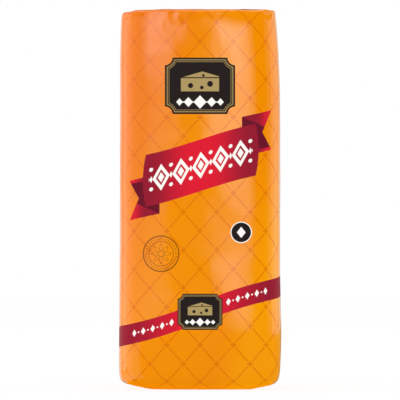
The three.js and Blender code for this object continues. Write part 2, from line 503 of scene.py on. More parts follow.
# %% Ends of the top edge
RIGHT_LIFT = 0.9 * MM
RIGHT_LIFT_SPAN = (0.72, 0.94)
RIGHT_LIFT_REACH = 4.0 * MM
LEFT_DROP = 0.5 * MM
LEFT_DROP_SPAN = (0.3, 0.9)
LEFT_DROP_REACH = 6.0 * MM

points = points_of(film_skin)
lifted = smooth_step(sideways(points), *RIGHT_LIFT_SPAN)
points[:, 2] += RIGHT_LIFT * lifted * near(HEIGHT - points[:, 2], RIGHT_LIFT_REACH)
dropped = smooth_step(-sideways(points), *LEFT_DROP_SPAN)
points[:, 2] -= LEFT_DROP * dropped * near(HEIGHT - points[:, 2], LEFT_DROP_REACH)
put_points(film_skin, points)
print("highest point, mm:", in_mm([points[:, 2].max()]))

# %% [markdown]
# Film never lies quite flat on a cheese. Near the folded ends it gathers into fine upright
# puckers, strongest beside the corners, and they fade out a few centimetres from the end. Noise
# that is stretched upwards gives them. A shift only picks the stretch of noise that is used, so
# that no two kinds of relief are alike.

# %% Puckers near the ends
PUCKER_SIZE = (3.6 * MM, 3.6 * MM, 26.0 * MM)
PUCKER_DEPTH = 0.05 * MM
CORNER_PUCKER_DEPTH = 0.2 * MM
CORNER_REACH = 14.0 * MM
TOP_PUCKER_DROP = 3.0 * MM
TOP_PUCKER_REACH = 13.0 * MM
BASE_PUCKER_RISE = 6.0 * MM
BASE_PUCKER_REACH = 12.0 * MM
BASE_PUCKER_SHARE = 0.6


def drift(places, cell, shift):
    """Smooth noise between -1 and 1 at each place, with its features about a cell in size."""
    scaled = places / np.asarray(cell) + shift
    return np.array([noise.noise(Vector(place)) for place in scaled])


points = points_of(film_skin)
from_top = HEIGHT - points[:, 2]
from_base = points[:, 2]
by_a_corner = near(wide_faces[1] - np.abs(points[:, 0]), CORNER_REACH)
by_a_corner *= near(wide_faces[3] - np.abs(points[:, 1]), CORNER_REACH)
by_the_top = near(from_top - TOP_PUCKER_DROP, TOP_PUCKER_REACH)
by_the_base = BASE_PUCKER_SHARE * near(from_base - BASE_PUCKER_RISE, BASE_PUCKER_REACH)
pucker_depth = (PUCKER_DEPTH + CORNER_PUCKER_DEPTH * by_a_corner) * (by_the_top + by_the_base)
puckers = drift(points, PUCKER_SIZE, shift=5.0) * pucker_depth
print("puckers from and to, mm:", in_mm([puckers.min(), puckers.max()], 2))

# %% [markdown]
# Here and there lies a patch of small crinkles, one of them on the left shoulder of the front.
# Noise with large features says where the other patches are. The crinkles' own noise is taken
# without its sign, which gives sharp crests with soft hollows between them.

# %% Crinkles in patches
CRINKLE_SIZE = (5.0 * MM, 5.0 * MM, 8.0 * MM)
CRINKLE_DEPTH = 0.05 * MM
CRINKLE_BALANCE = 0.4
PATCH_SIZE = 36.0 * MM
PATCH_STRENGTH = 0.5
PATCH_CONTRAST = 4.0
PATCH_CUT = 1.2
SHOULDER_PATCH = (-27.0 * MM, -48.0 * MM, 240.0 * MM)
SHOULDER_PATCH_REACH = 11.0 * MM
SHOULDER_PATCH_STRENGTH = 2.4

from_shoulder = np.linalg.norm(points - np.asarray(SHOULDER_PATCH), axis=1)
patch_noise = drift(points, PATCH_SIZE, shift=12.0)
patches = PATCH_STRENGTH * np.clip(patch_noise * PATCH_CONTRAST - PATCH_CUT, 0, 1)
patches += SHOULDER_PATCH_STRENGTH * near(from_shoulder, SHOULDER_PATCH_REACH)
crests = CRINKLE_BALANCE - np.abs(drift(points, CRINKLE_SIZE, shift=21.0))
crinkles = crests * CRINKLE_DEPTH * patches
print("crinkles from and to, mm:", in_mm([crinkles.min(), crinkles.max()], 2))

# %% [markdown]
# Two sizes of slow dents make the reflections wander, and the film on top is wrinkled all over.
# Under the base it stays flat. A layer of this relief is given by its size, its depth and its
# shift. All the layers are added up first and pressed in together, along the normals.

# %% Dents and wrinkles
BROAD_DENTS = (52.0 * MM, 0.34 * MM, 3.0)
SMALL_DENTS = (15.0 * MM, 0.07 * MM, 8.0)
TOP_WRINKLES = (12.0 * MM, 0.4 * MM, 41.0)
TOP_WRINKLE_REACH = 3.0 * MM
PRESSED_HEIGHT = 1.5 * MM


def noise_layer(size, depth, shift):
    """How much a layer of noise moves each point of the film."""
    return depth * drift(points, size, shift)


wrinkles = noise_layer(*TOP_WRINKLES) * near(from_top, TOP_WRINKLE_REACH)
dents = noise_layer(*BROAD_DENTS) + noise_layer(*SMALL_DENTS) + crinkles + wrinkles + puckers
dents = np.where(from_base < PRESSED_HEIGHT, 0.0, dents)
swell(film_skin, dents)
print("relief from and to, mm:", in_mm([dents.min(), dents.max()], 2))

# %% [markdown]
# At every corner of both ends the film is gathered into a few sharper pleats. Each pleat is
# pressed in along a short line between two points of the film: a groove in its middle and a low
# ridge on both sides, as in a crease made with a thumbnail, fading out at both ends.

# %% Press in a pleat
PLEAT_WIDTH = 1.7 * MM


def press_pleat(places, start, end, depth):
    """How much a pleat between two points moves each place."""
    along = end - start
    share = np.clip((places - start) @ along / (along @ along), 0.0, 1.0)
    away = np.linalg.norm(places - start - share[:, None] * along, axis=1) / PLEAT_WIDTH
    return -depth * np.sin(math.pi * share) * (1 - away**2) * np.exp(-(away**2))


def on_film(places, wanted):
    """The point of the film that is nearest to a wanted place."""
    return places[np.argmin(np.linalg.norm(places - wanted, axis=1))]


print("ridge to ridge across a pleat, mm:", in_mm([2 * math.sqrt(2) * PLEAT_WIDTH]))

# %% [markdown]
# The pleats of a corner fan out from it over the rounded edge. All lengths and directions are
# drawn from a seeded source, so that no two corners are alike and each run still gives the same
# ones. The pleats at the top are shorter, as the fold there is tighter. A pair of numbers gives,
# in millimetres, the range that a measure is drawn from.

# %% Pleats at the corners
PLEATS_PER_CORNER = 6
PLEAT_STRAY = 0.3
PLEAT_LENGTHS = (7.0, 16.0)
PLEAT_INSETS = (3.0, 5.0)
PLEAT_DROPS = (0.0, 2.0)
PLEAT_DEPTHS = (0.12, 0.33)
PLEAT_SLANT = 0.35
TOP_PLEAT_SHARE = 0.55

draws = np.random.default_rng(seed=27)


def gather_corner(places, corner, end_way, length_share):
    """How much a corner's pleats move each place. The end's way is 1 at the top, -1 at the base."""
    moves = np.zeros(len(places))
    out_x = math.copysign(1.0, corner[0])
    out_y = math.copysign(1.0, corner[1])
    for k in range(PLEATS_PER_CORNER):
        stray = draws.uniform(-PLEAT_STRAY, PLEAT_STRAY)
        turn = (k + 0.5 + stray) / PLEATS_PER_CORNER * math.pi / 2
        length = draws.uniform(*PLEAT_LENGTHS) * length_share * MM
        across = np.array([-out_x * math.cos(turn), -out_y * math.sin(turn), 0.0])
        start = corner + across * draws.uniform(*PLEAT_INSETS) * MM
        start[2] -= end_way * draws.uniform(*PLEAT_DROPS) * MM
        end = start + across * length * PLEAT_SLANT
        end[2] -= end_way * length
        depth = draws.uniform(*PLEAT_DEPTHS) * MM
        moves += press_pleat(places, on_film(places, start), on_film(places, end), depth)
    return moves


def press_above(piece, height):
    """Moves up to a height all the points that lie below it."""
    places = points_of(piece)
    places[:, 2] = np.maximum(places[:, 2], height)
    put_points(piece, places)


points = points_of(film_skin)
pleats = np.zeros(len(points))
for faces, end_height, end_way, share in (
    (top_faces, HEIGHT, 1, TOP_PLEAT_SHARE),
    (base_faces, 0.0, -1, 1.0),
):
    for x_face in faces[:2]:
        for y_face in faces[2:]:
            corner = np.array([x_face, y_face, end_height])
            pleats += gather_corner(points, corner, end_way, share)
swell(film_skin, pleats)
press_above(film_skin, BASE_LAYERS)
print("deepest pleat, mm:", in_mm([-pleats.min()], 2))

# %% [markdown]
# Where film lies over film, on both ends and down the back, the upper layer is a piece of its own.
# Modelled from nothing, it would never quite fit. So it is a patch: a copy of the film that bisect
# trims along flat planes, and Solidify gives it the thickness of folded film.

# %% Cut a patch of film
FILM_LAYER = 0.2 * MM
HEM_DIP = 0.3 * MM
SHARP_EDGE = math.radians(50)


def cut_patch(name, cuts):
    """A piece of the film inside some planes. A cut is a point and the direction that goes."""
    patch = copy_piece(film_skin, name)
    work_on(patch)
    bpy.ops.object.mode_set(mode="EDIT")
    for point, away in cuts:
        bpy.ops.mesh.select_all(action="SELECT")
        bpy.ops.mesh.bisect(plane_co=point, plane_no=away, clear_outer=True)
    bpy.ops.object.mode_set(mode="OBJECT")
    return patch


def thicken(piece):
    """Gives a patch the thickness of one layer, inwards."""
    wall = piece.modifiers.new("film layer", "SOLIDIFY")
    wall.thickness = FILM_LAYER
    wall.offset = -1.0
    apply_modifiers(piece)
    work_on(piece)
    bpy.ops.object.shade_smooth_by_angle(angle=SHARP_EDGE)


# %% [markdown]
# The ends are closed like a parcel: the sides are tucked in first, and then the front and the back
# flap are folded over them, with edges that run in from the corners at 45 degrees. A flap's outer
# hem dips into the film on the rounded edge, where a real flap simply goes on, and its free edges
# stand off a little. Under the base the flaps and the seam are pressed into three even steps, so
# that no two of them lie in one plane.

# %% Flaps of the envelope folds
FRONT_REACH = 46.0 * MM
BACK_REACH = 50.0 * MM
TOP_HEM_DROP = 2.4 * MM
BASE_HEM_RISE = 4.5 * MM
HEM_TO_FLAT = (1.0 * MM, 6.5 * MM)
CURL_WIDTH = 2.5 * MM
CURL_HEIGHT = 0.25 * MM
CURL_WAVE_SIZE = 13.0 * MM
CURL_WAVE_HEIGHT = 0.45 * MM
CURL_WAVE_SHIFT = 17.0
CURL_LAYER_SHIFT = 3.0
HEM_TO_CURL = (4.0 * MM, 24.0 * MM)


def fold_flap(name, at_top, side, reach, layers):
    """Folds the flap of the front (side -1) or the back (side 1) over an end."""
    faces = top_faces if at_top else base_faces
    left, right = float(faces[0]), float(faces[1])
    edge = float(faces[2] if side < 0 else faces[3])
    tip = edge - side * reach
    hem = HEIGHT - TOP_HEM_DROP if at_top else BASE_HEM_RISE
    cuts = [
        ((0, 0, hem), (0, 0, -1 if at_top else 1)),
        ((0, tip, 0), (0, -side, 0)),
        ((right, edge, 0), (1, -side, 0)),
        ((left, edge, 0), (-1, -side, 0)),
    ]
    flap = cut_patch(name, cuts)
    places = points_of(flap)
    inset = -side * (places[:, 1] - edge)
    beside = np.minimum(right - places[:, 0], places[:, 0] - left) - inset
    free_edge = np.minimum(beside / math.sqrt(2), reach - inset)
    risen = smooth_step(inset, *HEM_TO_FLAT)
    shift = CURL_WAVE_SHIFT + CURL_LAYER_SHIFT * layers
    wave = 0.5 + 0.5 * drift(places, CURL_WAVE_SIZE, shift)
    curl = (CURL_HEIGHT + CURL_WAVE_HEIGHT * wave) * near(free_edge, CURL_WIDTH)
    curl *= smooth_step(inset, *HEM_TO_CURL)
    swell(flap, layers * FILM_LAYER * risen + curl - HEM_DIP * (1 - risen))
    press_above(flap, BASE_LAYERS * (1 - layers / 3))
    thicken(flap)
    return flap


flaps = [
    fold_flap("top_front_flap", True, -1, FRONT_REACH, 1),
    fold_flap("top_back_flap", True, 1, BACK_REACH, 2),
    fold_flap("base_front_flap", False, -1, FRONT_REACH, 1),
    fold_flap("base_back_flap", False, 1, BACK_REACH, 2),
]
print("flap faces:", [len(flap.data.polygons) for flap in flaps])

# %% [markdown]
# Down the back the film's right side laps over its left side and is sealed to it. The band is cut
# from the film as the flaps are. Its left edge is free and wavers a little, and its right edge
# melts into the film over the hidden edge below. The sealing bar has left fine cross ridges,
# which need smaller squares than the rest of the film, so the band is subdivided once more.

# %% Lapped seam
SEAM_LEFT = -3.0 * MM
SEAM_RIGHT = 11.0 * MM
SEAM_FADE = 4.0 * MM
SEAM_LAYERS = 1.2
SEAM_LAYERS_ON_FLAP = 2.0
BACK_TO_FLAP = 6.0 * MM
RIDGE_PITCH = 2.5 * MM
RIDGE_HEIGHT = 0.07 * MM
LEFT_RIDGE_FADE = (1.5 * MM, 2.5 * MM)
RIGHT_RIDGE_FADE = 2.0 * MM
WAVER_WIDTH = 2.5 * MM
WAVER_SIZE = 17.0 * MM
WAVER_LEAST = 0.08 * MM
WAVER_MORE = 0.22 * MM

back_seam = cut_patch(
    "back_seam",
    [
        ((SEAM_LEFT, 0, 0), (-1, 0, 0)),
        ((SEAM_RIGHT + SEAM_FADE, 0, 0), (1, 0, 0)),
        ((0, float(top_faces[3]) - BACK_REACH, 0), (0, -1, 0)),
    ],
)
work_on(back_seam)
bpy.ops.object.mode_set(mode="EDIT")
bpy.ops.mesh.select_all(action="SELECT")
bpy.ops.mesh.subdivide(number_cuts=1, smoothness=1.0)
bpy.ops.object.mode_set(mode="OBJECT")

places = points_of(back_seam)
in_from_back = float(top_faces[3]) - places[:, 1]
in_from_left = places[:, 0] - SEAM_LEFT
on_flap = smooth_step(in_from_back, 0.0, BACK_TO_FLAP)
kept = 1 - smooth_step(places[:, 0], SEAM_RIGHT, SEAM_RIGHT + SEAM_FADE)
sealed = smooth_step(in_from_left, *LEFT_RIDGE_FADE)
sealed *= 1 - smooth_step(places[:, 0], SEAM_RIGHT - RIGHT_RIDGE_FADE, SEAM_RIGHT)
travel = places[:, 2] - places[:, 1] * on_flap
ridges = RIDGE_HEIGHT * np.sin(2 * math.pi * travel / RIDGE_PITCH) * sealed
waver = WAVER_LEAST + WAVER_MORE * (0.5 + 0.5 * drift(places, WAVER_SIZE, shift=31.0))
waver *= near(in_from_left, WAVER_WIDTH)
stack = FILM_LAYER * (SEAM_LAYERS + SEAM_LAYERS_ON_FLAP * on_flap)
swell(back_seam, (stack + waver + ridges) * kept - HEM_DIP * (1 - kept))
press_above(back_seam, 0.0)
thicken(back_seam)
print("seam faces:", len(back_seam.data.polygons))

# %% [markdown]
# The print has to run round the loaf as it does on flat film, so every piece gets a UV map that is
# simply a ruler: u is the way round the loaf from the middle of the front, and v is the way up,
# both in millimetres. Over a rounded edge the ruler follows the bend, and on the ends it goes on
# inwards from whichever face the film was folded in from. From here on the print's sizes are in
# plain millimetres, as on the ruler.

# %% Sizes of the ruler
CORNER_RADIUS = 13.0
TOP_RADIUS = 5.0
BASE_RADIUS = 9.5

LOAF_HEIGHT = HEIGHT / MM
SEAM_PLACE = (SEAM_LEFT + SEAM_RIGHT) / 2 / MM
HALF_WIDTH = (float(wide_faces[1]) - float(wide_faces[0])) / 2 / MM
FRONT_PLACE = float(wide_faces[2]) / MM
BACK_PLACE = float(wide_faces[3]) / MM
CORNER_START = HALF_WIDTH - CORNER_RADIUS
SIDE_RUN = BACK_PLACE - FRONT_PLACE - 2 * CORNER_RADIUS
HALF_GIRTH = 2 * CORNER_START + math.pi * CORNER_RADIUS + SIDE_RUN
print("girth of the film, mm:", round(2 * HALF_GIRTH, 1))

# %% [markdown]
# Each small square of a mesh goes with one face of the loaf, by where the square's middle is, so
# that the ruler is never torn across it. Then all its corners are measured, round the loaf and up.
# A flap belongs to its own face, also where it lies over the side tucks, and the seam belongs to
# the film that comes from the right.

# %% Lay the ruler on every piece
END_FACING = 0.7


def unroll(rise, inset, radius):
    """How far film has gone up a face and then over its rounded edge."""
    turned = radius * np.arctan2(np.maximum(rise, 0), np.maximum(radius - inset, 0))
    return np.where(rise < 0, rise, turned + np.maximum(inset - radius, 0))


def lay_ruler(piece, panel=None):
    """Gives a piece its ruler map. A panel is the face that all its film comes from."""
    mesh = piece.data
    corners = read_all(mesh.loops, "vertex_index", 1, np.int32).ravel()
    counts = read_all(mesh.polygons, "loop_total", 1, np.int32).ravel()
    centres = np.repeat(read_all(mesh.polygons, "center", 3) / MM, counts, axis=0)
    normals = np.repeat(read_all(mesh.polygons, "normal", 3), counts, axis=0)
    x, y, z = (points_of(piece)[corners] / MM).T
    mid_x, mid_y, mid_z = centres.T
    on_end = np.abs(normals[:, 2]) > END_FACING

    # The way round the upright faces and their rounded edges
    from_front = mid_y < 0 if panel is None else np.full(len(mid_y), panel == "front")
    side = np.where(mid_x > np.where(from_front, 0.0, SEAM_PLACE), 1.0, -1.0)
    if panel == "seam":
        side[:] = 1.0
    outwards = side * x
    from_face = np.where(from_front, y - FRONT_PLACE, BACK_PLACE - y)
    round_corner = CORNER_START + unroll(outwards - CORNER_START, from_face, CORNER_RADIUS)
    way_round = np.where(from_front, round_corner, HALF_GIRTH - round_corner)

    # On the ends the film goes on from the face that it was folded in from
    upper = mid_z > LOAF_HEIGHT / 2
    left, right, front, back = (
        np.where(upper, top, base) / MM for top, base in zip(top_faces, base_faces)
    )
    inset_ends = np.where(from_front, y - front, back - y)
    inset_sides = np.where(side > 0, right - x, x - left)
    centre_ends = np.where(from_front, mid_y - front, back - mid_y)
    centre_sides = np.where(side > 0, right - mid_x, mid_x - left)
    tucked = (centre_sides < centre_ends) & (panel is None)
    flat_round = np.where(from_front, outwards, HALF_GIRTH - outwards)
    side_round = CORNER_START + CORNER_RADIUS * (math.pi / 2 - 1) + y - FRONT_PLACE
    way_round = np.where(on_end, np.where(tucked, side_round, flat_round), way_round)

    # The way up, over the rounded edges round both ends
    inset = np.where(tucked, inset_sides, inset_ends)
    top_start = LOAF_HEIGHT - TOP_RADIUS
    way_up = np.where(
        upper,
        top_start + unroll(z - top_start, inset, TOP_RADIUS),
        BASE_RADIUS - unroll(BASE_RADIUS - z, inset, BASE_RADIUS),
    )
    ruler = mesh.uv_layers.new(name="film_ruler")
    marks = np.column_stack([side * way_round, way_up])
    ruler.data.foreach_set("uv", marks.astype(np.float32).ravel())


lay_ruler(film_skin)
for flap in flaps:
    lay_ruler(flap, "front" if "front" in flap.name else "back")
lay_ruler(back_seam, "seam")
print("pieces with a ruler:", 2 + len(flaps))

# %% [markdown]
# The print is drawn with arithmetic on the ruler's two numbers, so that it stays sharp at any
# size. Written out as single nodes that would be unreadable, so a small class lets ordinary plus,
# minus and times build the nodes. A number that varies over the film is called a field here.

# %% Numbers that vary over the film
film = bpy.data.materials.new("printed_film")
film.use_nodes = True
film_nodes = film.node_tree.nodes
film_links = film.node_tree.links


class Field:
    """A number that varies over the film: the output of a node."""

    def __init__(self, socket):
        self.socket = socket

    def __add__(self, other):
        return work_out("ADD", self, other)

    def __sub__(self, other):
        return work_out("SUBTRACT", self, other)

    def __rsub__(self, other):
        return work_out("SUBTRACT", other, self)

    def __mul__(self, other):
        return work_out("MULTIPLY", self, other)

    def __truediv__(self, other):
        return work_out("DIVIDE", self, other)

    def __abs__(self):
        return work_out("ABSOLUTE", self)

    __radd__ = __add__


def plug_in(value, socket):
    """Gives a node's socket a field or a plain value."""
    if isinstance(value, Field):
        film_links.new(value.socket, socket)
    else:
        socket.default_value = value


def work_out(operation, *values, clamp=False):
    """The result of one of the Math node's operations."""
    node = film_nodes.new("ShaderNodeMath")
    node.operation = operation
    node.use_clamp = clamp
    for value, socket in zip(values, node.inputs):
        plug_in(value, socket)
    return Field(node.outputs[0])


print("nodes to start with:", len(film_nodes))

# %% [markdown]
# Two places feed the print. The ruler's u and v say where a point lies on the film, for all that
# is drawn. The place on the loaf's body serves for changes of tone that don't follow the ruler.

# %% Read the ruler and the body
def parts_of(vector):
    """The three parts of a vector socket, each as a field."""
    node = film_nodes.new("ShaderNodeSeparateXYZ")
    film_links.new(vector, node.inputs[0])
    return [Field(socket) for socket in node.outputs]


body_place = film_nodes.new("ShaderNodeTexCoord").outputs["Object"]
ruler_node = film_nodes.new("ShaderNodeUVMap")
ruler_node.uv_map = "film_ruler"
u, v, _ = parts_of(ruler_node.outputs["UV"])
body_x, _, body_z = parts_of(body_place)
print("nodes so far:", len(film_nodes))

# %% [markdown]
# A shape is a field that tells how many millimetres a point lies inside the shape's edge. Two
# shapes are joined by taking the larger field, and overlapped by taking the smaller.

# %% Shapes
def overlap(first, *others):
    for other in others:
        first = work_out("MINIMUM", first, other)
    return first


def join(first, *others):
    for other in others:
        first = work_out("MAXIMUM", first, other)
    return first


def distance(x, y):
    return work_out("SQRT", x * x + y * y)


def disc(x, y, radius):
    return radius - distance(x, y)


def lozenge(x, y, half_width, half_height):
    slope = half_width * half_height / math.hypot(half_width, half_height)
    return slope - (abs(x) / half_width + abs(y) / half_height) * slope


# %% [markdown]
# Ink covers the film wherever a shape's field is above nothing. Its edge is softened over about a
# sixth of a millimetre, as that of ink on film is. Colours are given as they look on a screen, and
# are turned into the light that they stand for.

# %% Inks and colours
EDGE_SOFTNESS = 0.16
MIX_SHARE, MIX_BELOW, MIX_ABOVE, MIX_RESULT = 0, 6, 7, 2


def ink(shape):
    """Turns a shape into how much of it covers each point."""
    return work_out("MULTIPLY_ADD", shape, 1 / EDGE_SOFTNESS, 0.5, clamp=True)


def paint(red, green, blue):
    """A colour as seen on a screen, in sRGB from 0 to 255, as the light it stands for."""
    shares = (value / 255 for value in (red, green, blue))
    linear = [s / 12.92 if s <= 0.04045 else ((s + 0.055) / 1.055) ** 2.4 for s in shares]
    return (*linear, 1.0)


def mix_colours(share, below, above):
    """Lays one colour over another. Several sockets share a name here, so each has a number."""
    node = film_nodes.new("ShaderNodeMix")
    node.data_type = "RGBA"
    plug_in(share, node.inputs[MIX_SHARE])
    plug_in(below, node.inputs[MIX_BELOW])
    plug_in(above, node.inputs[MIX_ABOVE])
    return Field(node.outputs[MIX_RESULT])


WHITE = paint(255, 252, 246)
BLACK = paint(36, 27, 26)
GOLD = paint(176, 152, 98)
BROWN = paint(146, 80, 10)
BRIGHT_RED = paint(224, 24, 48)
DEEP_RED = paint(150, 22, 46)
FOLD_RED = paint(108, 14, 38)
TAIL_RED = paint(222, 30, 50)
RED_ORANGE = paint(241, 122, 0)
ORANGE = paint(248, 147, 0)
GOLDEN_ORANGE = paint(253, 163, 0)
DEEP_ORANGE = paint(240, 128, 0)
QUILT_ORANGE = paint(224, 102, 0)
BUTTON_ORANGE = paint(222, 100, 0)
print("the orange as light:", [round(share, 3) for share in ORANGE])

# %% [markdown]
# The ground of the print is orange with a quilt of thin darker diamonds. Both families of slanting
# lines are one repeat each, of u plus v and of u minus v. The lines stop short of each crossing,
# and a small button with four short rays sits there, as on buttoned leather.

# %% Quilt lines and buttons
QUILT_WIDTH = 21.9
QUILT_HEIGHT = 24.85
QUILT_CROSSING_HEIGHT = 229.1
QUILT_LINE = 0.62
QUILT_GAP = 2.4
BUTTON_RADIUS = 1.4
BUTTON_RAY = 2.5
BUTTON_RAY_HALF_WIDTH = 1.1


def nearest_repeat(value, pitch):
    """How far a value is from the nearest whole number of pitches."""
    return (work_out("FRACT", value / pitch + 0.5) - 0.5) * pitch


quilt_u = u / QUILT_WIDTH
quilt_v = (v - QUILT_CROSSING_HEIGHT) / QUILT_HEIGHT
rising = nearest_repeat(quilt_u - quilt_v, 1.0)
falling = nearest_repeat(quilt_u + quilt_v, 1.0)
line_spacing = 1 / math.hypot(1 / QUILT_WIDTH, 1 / QUILT_HEIGHT)
from_rising = abs(rising) * line_spacing
from_falling = abs(falling) * line_spacing
quilt_line = overlap(
    QUILT_LINE / 2 - overlap(from_rising, from_falling),
    join(from_rising, from_falling) - QUILT_GAP,
)
button_x = (falling + rising) * (QUILT_WIDTH / 2)
button_y = (falling - rising) * (QUILT_HEIGHT / 2)
button = join(
    disc(button_x, button_y, BUTTON_RADIUS),
    lozenge(button_x, button_y, BUTTON_RAY, BUTTON_RAY_HALF_WIDTH),
    lozenge(button_x, button_y, BUTTON_RAY_HALF_WIDTH, BUTTON_RAY),
)
print("quilt diamonds round the loaf:", round(2 * HALF_GIRTH / QUILT_WIDTH, 1))

# %% [markdown]
# The orange below the quilt isn't one tone. Painted light makes it redder towards the upper left,
# as a warm light from there would, and more golden towards the lower right. Soft clouds vary its
# tone as well. The painted light follows the loaf's body, so its two spans are in metres. From here
# on each colour is laid over those before it, as a printer lays inks.

# %% Orange ground
QUILT_STRENGTH = 0.8
BUTTON_STRENGTH = 0.55
REDDER_BY_HEIGHT = 0.25
GOLDEN_TO_ORANGE = (-0.028, -0.004)
ORANGE_TO_RED = (0.038, 0.095)
CLOUD_SCALE = 14.0
CLOUD_SPAN = (0.35, 0.75)
CLOUD_STRENGTH = 0.2


def fade(value, start, end):
    """0 up to the start, rising smoothly to 1 at the end."""
    node = film_nodes.new("ShaderNodeMapRange")
    node.interpolation_type = "SMOOTHSTEP"
    plug_in(value, node.inputs["Value"])
    set_inputs(node, {"From Min": start, "From Max": end})
    return Field(node.outputs["Result"])


def body_noise(scale, detail):
    """Noise that is fixed to the loaf's body, with its features about 1 / scale metres apart."""
    node = film_nodes.new("ShaderNodeTexNoise")
    set_inputs(node, {"Scale": scale, "Detail": detail})
    film_links.new(body_place, node.inputs["Vector"])
    return Field(node.outputs["Fac"])


clouds = fade(body_noise(CLOUD_SCALE, detail=2.0), *CLOUD_SPAN)
# Painted light: a warm light from the upper left, painted into the orange as a redder tone.
painted_warm_light = body_z * REDDER_BY_HEIGHT - body_x
colour = mix_colours(fade(painted_warm_light, *GOLDEN_TO_ORANGE), GOLDEN_ORANGE, ORANGE)
colour = mix_colours(fade(painted_warm_light, *ORANGE_TO_RED), colour, RED_ORANGE)
colour = mix_colours(clouds * CLOUD_STRENGTH, colour, DEEP_ORANGE)
colour = mix_colours(ink(quilt_line) * QUILT_STRENGTH, colour, QUILT_ORANGE)
colour = mix_colours(ink(button) * BUTTON_STRENGTH, colour, BUTTON_ORANGE)
print("nodes in the ground:", len(film_nodes))

# %% [markdown]
# A red stripe runs round the loaf near its foot. It climbs across the front in one long wave, is
# level on the sides and comes down again on the back, so that it meets itself at the seam. Its red
# is bright in the middle of the front and deep at the sides. Small white lozenges and dots stand
# in a row on both sides of the label that will cover its middle.

# %% Stripe round the foot
STRIPE_HEIGHT = 51.7
STRIPE_CLIMB = 16.6
STRIPE_LEVEL_FROM = 69.4
STRIPE_HALF = 6.7
STRIPE_BRIGHT_AT = -1.5
STRIPE_BRIGHT_TO_DEEP = (4.0, 52.0)
STRIPE_ROW_FROM = 16.5
STRIPE_ROW_TO = 45.5
STRIPE_ROW_PITCH = 6.2
STRIPE_LOZENGE = (1.5, 2.4)
STRIPE_DOT = 0.55


def bar(x, half_width):
    return half_width - abs(x)


climb_place = overlap(abs(u), HALF_GIRTH - abs(u), STRIPE_LEVEL_FROM) * work_out("SIGN", u)
climb = work_out("SINE", climb_place * (math.pi / 2 / STRIPE_LEVEL_FROM))
above_stripe = v - STRIPE_HEIGHT - climb * STRIPE_CLIMB
stripe = bar(above_stripe, STRIPE_HALF)
from_bright = abs(climb_place - STRIPE_BRIGHT_AT)
stripe_red = mix_colours(fade(from_bright, *STRIPE_BRIGHT_TO_DEEP), BRIGHT_RED, DEEP_RED)
colour = mix_colours(ink(stripe), colour, stripe_red)

row_limit = overlap(abs(u) - STRIPE_ROW_FROM, STRIPE_ROW_TO - abs(u))
stripe_lozenge = lozenge(nearest_repeat(u, STRIPE_ROW_PITCH), above_stripe, *STRIPE_LOZENGE)
stripe_between = nearest_repeat(u + STRIPE_ROW_PITCH / 2, STRIPE_ROW_PITCH)
stripe_row = join(stripe_lozenge, disc(stripe_between, above_stripe, STRIPE_DOT))
colour = mix_colours(ink(overlap(stripe_row, row_limit)), colour, WHITE)
print("climb of the stripe, mm:", 2 * STRIPE_CLIMB)

# %% [markdown]
# Across the front flies one broad banner with forked tails. It looks the same when turned by half
# a turn about its middle, so it is drawn for one half only: the distance from the middle to the
# right, and the height above the middle, both with their signs changed on the left half. The tail
# lies behind, the dark triangle is the ribbon's fold, and the band comes last, on top.

# %% Banner
BANNER_MIDDLE = (0.5, 148.0)
BANNER_WAVE = 13.0
BANNER_WAVE_LENGTH = 40.0
BANNER_HALF_HEIGHT = 17.0
BANNER_HALF_LENGTH = 36.0
BANNER_BULGE = 2.0
TAIL_HALF_HEIGHT = 13.0
TAIL_START = 27.0
TAIL_NOTCH = 40.5
TAIL_FORK = 7.5
TAIL_RISE = 10.5
TAIL_SLOPE = 0.22
FOLD_END = BANNER_HALF_LENGTH + 1.0
FRONT_HALF = 75.0
TAIL_DEEP_TO_BRIGHT = (BANNER_HALF_LENGTH, 46.0)
BAND_BRIGHT_TO_DEEP = (5.0, 34.0)

banner_u = u - BANNER_MIDDLE[0]
half = work_out("SIGN", banner_u)
out = abs(banner_u)
up = (v - BANNER_MIDDLE[1]) * half
on_front = bar(u, FRONT_HALF)

band_rise = work_out("SINE", out / BANNER_WAVE_LENGTH) * BANNER_WAVE
in_band = up - band_rise
hollow = in_band * in_band * (BANNER_BULGE / BANNER_HALF_HEIGHT**2)
band_end = BANNER_HALF_LENGTH + BANNER_BULGE - hollow
band = overlap(bar(in_band, BANNER_HALF_HEIGHT), band_end - out, on_front)

end_rise = BANNER_WAVE * math.sin(BANNER_HALF_LENGTH / BANNER_WAVE_LENGTH)
tail_middle = end_rise + TAIL_RISE + (out - BANNER_HALF_LENGTH) * TAIL_SLOPE
in_tail = up - tail_middle
tail_end = TAIL_NOTCH + abs(in_tail) * (TAIL_FORK / TAIL_HALF_HEIGHT)
tail = overlap(bar(in_tail, TAIL_HALF_HEIGHT), tail_end - out, out - TAIL_START, on_front)

fold_share = (FOLD_END - out) / (FOLD_END - TAIL_START)
fold_top = BANNER_HALF_HEIGHT + fold_share * (TAIL_RISE + TAIL_HALF_HEIGHT - BANNER_HALF_HEIGHT)
ribbon_fold = overlap(fold_top - in_band, out - TAIL_START, in_band)

tail_red = mix_colours(fade(out, *TAIL_DEEP_TO_BRIGHT), DEEP_RED, TAIL_RED)
band_red = mix_colours(fade(out, *BAND_BRIGHT_TO_DEEP), BRIGHT_RED, DEEP_RED)
colour = mix_colours(ink(tail), colour, tail_red)
colour = mix_colours(ink(overlap(ribbon_fold, tail)), colour, FOLD_RED)
colour = mix_colours(ink(band), colour, band_red)
print("banner with its tails, mm:", 2 * (TAIL_NOTCH + TAIL_FORK))

# %% [markdown]
# The band carries a bold white row that follows its wave: rings with a small lozenge in each, and
# between two rings a slim lozenge with a dot above and below it. One of each is drawn, and the
# ruler is folded so that it repeats.

# %% Row on the banner
LOZENGE_PITCH = 13.0
ROW_HALF_LENGTH = 34.0
RING = (6.0, 9.2)
RING_INSET = 1.2
RING_WIDTH = 1.9
RING_HEART = (2.1, 3.3)
DOT_RISE = 6.4
DOT_RADIUS = 1.25
SLIM_LOZENGE = (1.0, 2.2)


